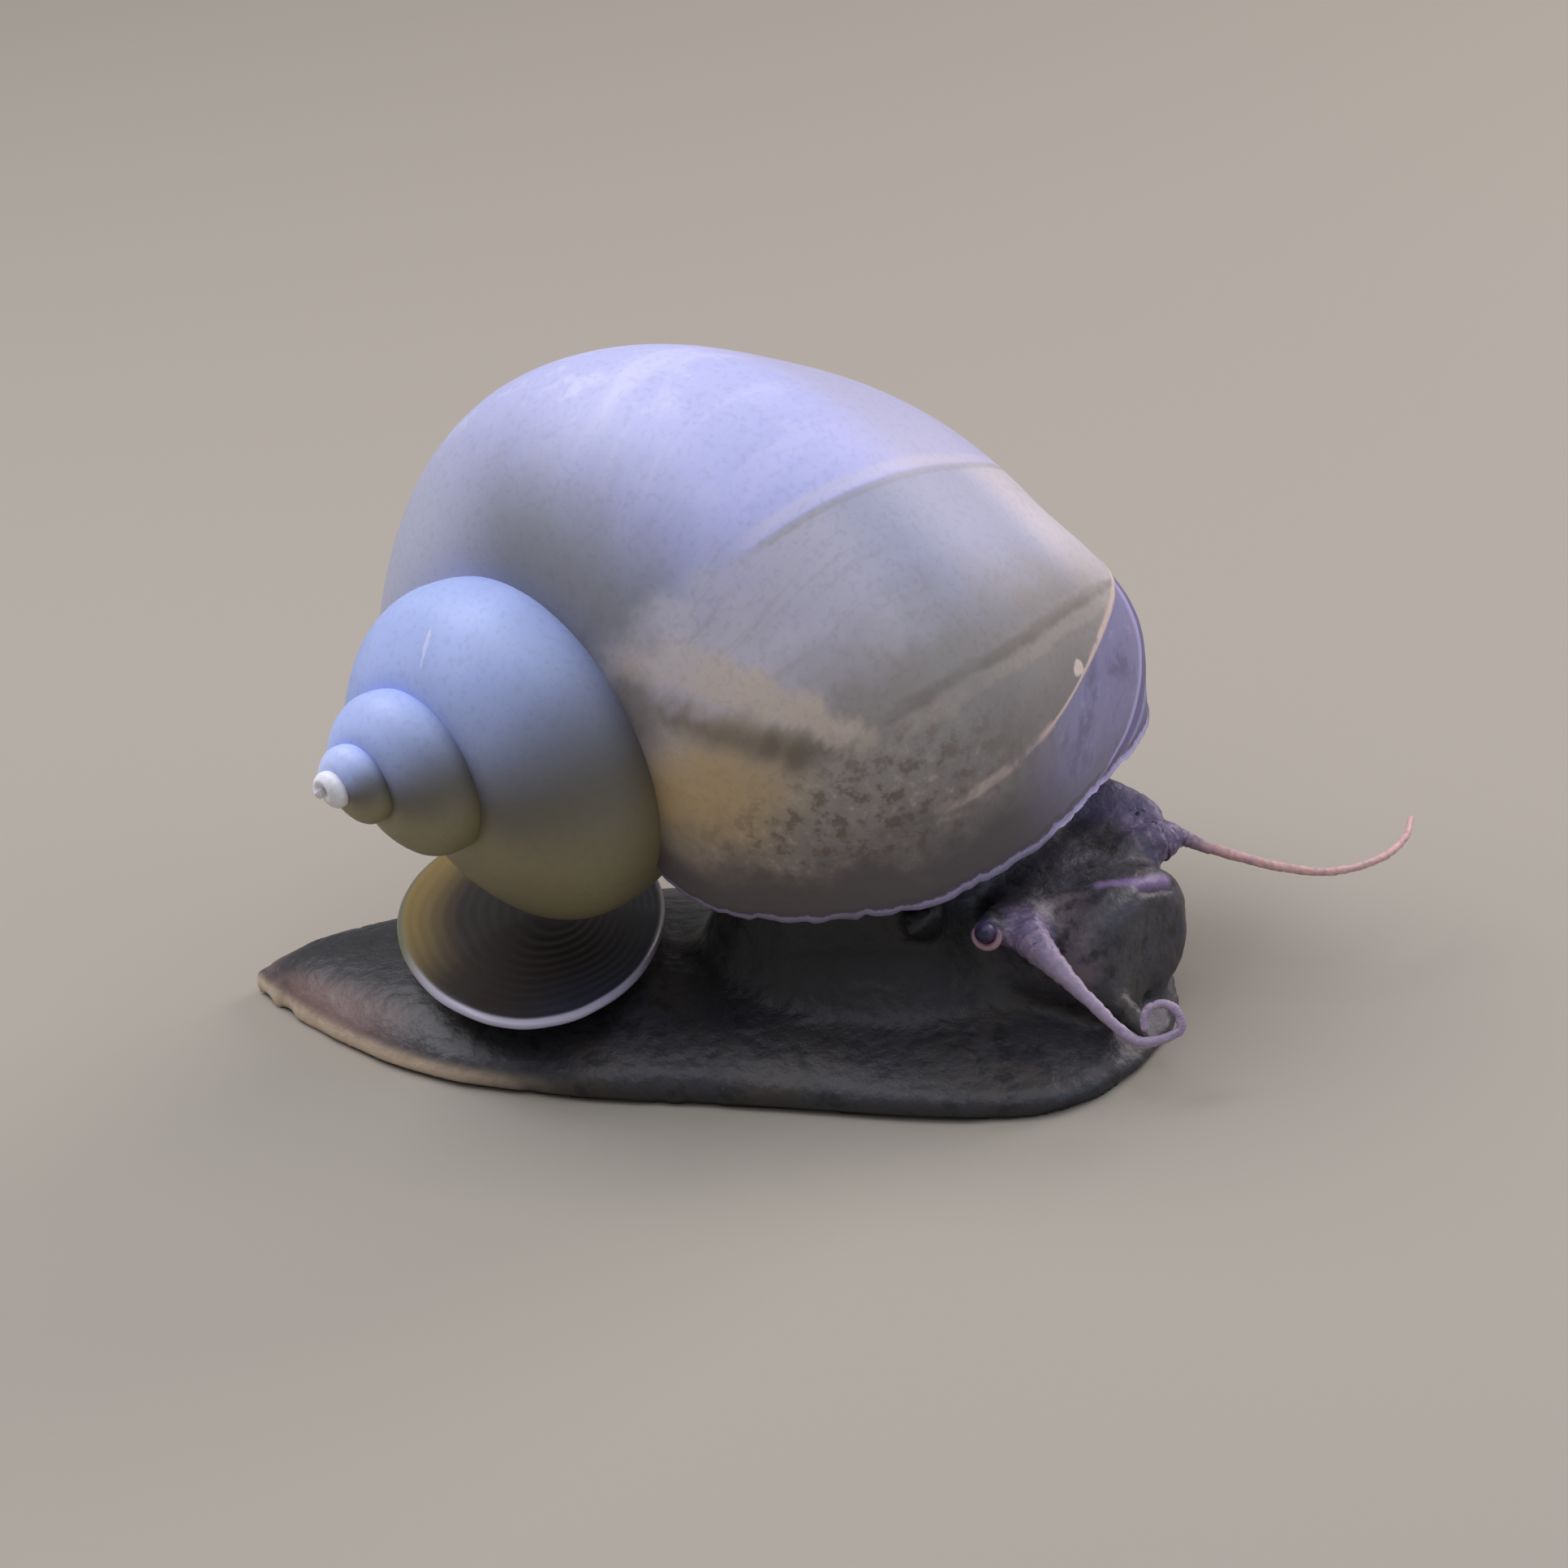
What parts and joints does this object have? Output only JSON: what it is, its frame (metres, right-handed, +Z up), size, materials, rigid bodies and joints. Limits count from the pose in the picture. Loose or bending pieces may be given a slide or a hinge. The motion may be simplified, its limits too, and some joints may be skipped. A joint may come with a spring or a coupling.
{
  "type": "apple snail",
  "caption": "Life-size still model of a crawling apple snail: blue-grey coiled shell, horny operculum, and blue-black foot, head and tentacles.",
  "frame": {"origin": "on the plane of the sole, under the middle of the whole animal's box", "axes": "+X the way the snail crawls, +Y its left side, +Z up from the sole"},
  "size_m": [0.0632, 0.0306, 0.0369],
  "materials": {
    "shell": "satin shell with fine growth lines, blue-grey",
    "operculum": "horny plate with growth rings, dark brown with an amber rim",
    "skin": "wet skin, blue-black with fine pale flecks",
    "eye": "glossy black"
  },
  "bodies": {
    "root": {"shell": "shell", "operculum": "operculum", "eye_right": "eye", "eye_left": "eye", "mantle": "skin", "tail": "skin", "foot_middle": "skin", "foot_front": "skin", "neck": "skin", "head": "skin", "snout": "skin", "tentacle_right_base": "skin", "tentacle_right_middle": "skin", "tentacle_right_curl": "skin", "tentacle_left_base": "skin", "tentacle_left_middle": "skin", "tentacle_left_tip": "skin", "eye_stalk_right": "skin", "eye_stalk_left": "skin", "labial_palp_right": "skin", "labial_palp_left": "skin", "siphon": "skin", "nuchal_lobe_right": "skin"}
  },
  "joints": []
}
